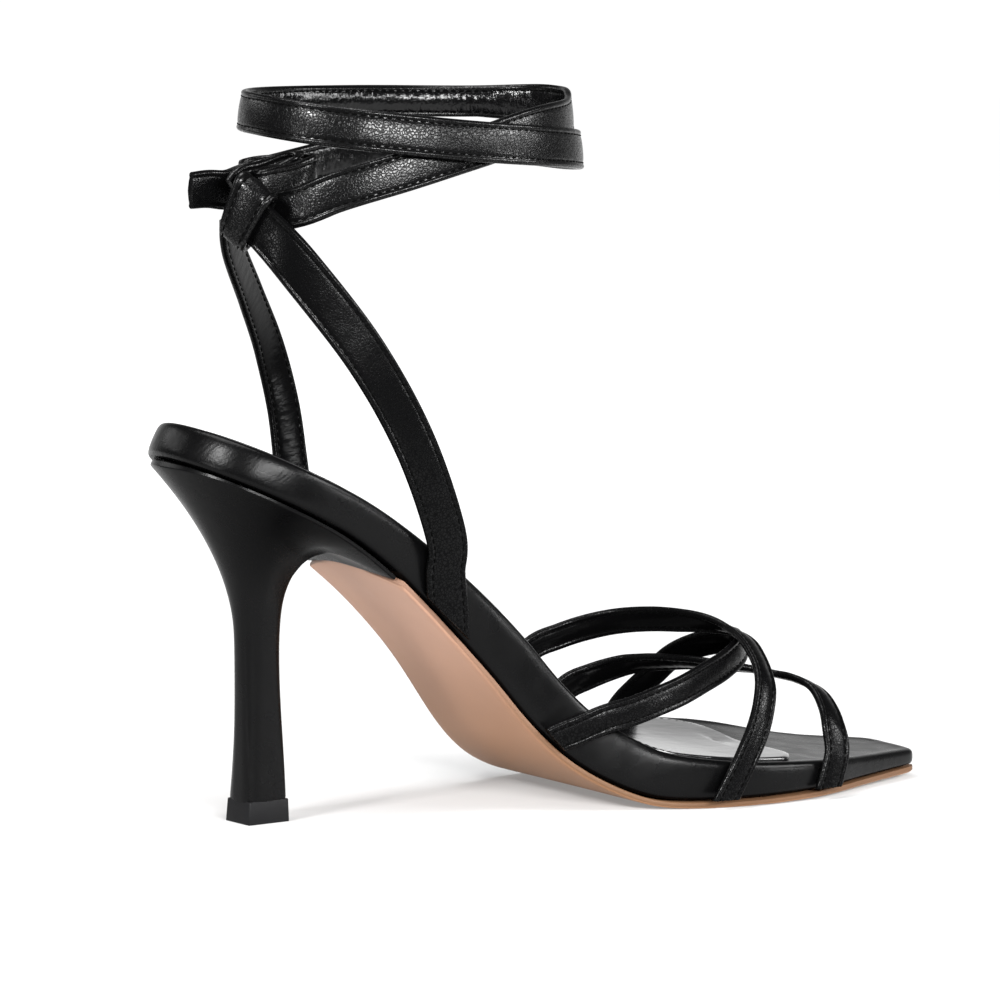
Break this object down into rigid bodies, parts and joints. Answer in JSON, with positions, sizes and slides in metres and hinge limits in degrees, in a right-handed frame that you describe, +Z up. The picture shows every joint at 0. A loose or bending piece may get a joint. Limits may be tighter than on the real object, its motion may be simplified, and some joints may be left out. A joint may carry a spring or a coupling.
{
  "type": "high heel sandal",
  "caption": "Strappy high heel sandal for the left foot: slim flared heel, padded footbed, crossed toe straps, slings to the ankle and a long tie wound round it.",
  "frame": {"origin": "middle of the tread of the heel's top lift, on the floor", "axes": "+X from heel to toe, +Y to the wearer's left, which is the lateral side of this left shoe, +Z up"},
  "size_m": [0.219, 0.0758, 0.1791],
  "materials": {
    "lift_rubber": "matte",
    "heel_leather": "smooth satin",
    "sole_leather": "satin",
    "footbed_leather": "smooth satin",
    "sock_leather": "gloss",
    "strap_leather": "fine grain, satin"
  },
  "bodies": {
    "root": {"top_lift": "lift_rubber", "heel": "heel_leather", "outsole": "sole_leather", "footbed": "footbed_leather", "insole_sock": "sock_leather", "forefoot_straps": "strap_leather", "medial_sling": "strap_leather", "lateral_sling": "strap_leather", "ankle_tie": "strap_leather", "tie_keeper": "strap_leather"}
  },
  "joints": []
}
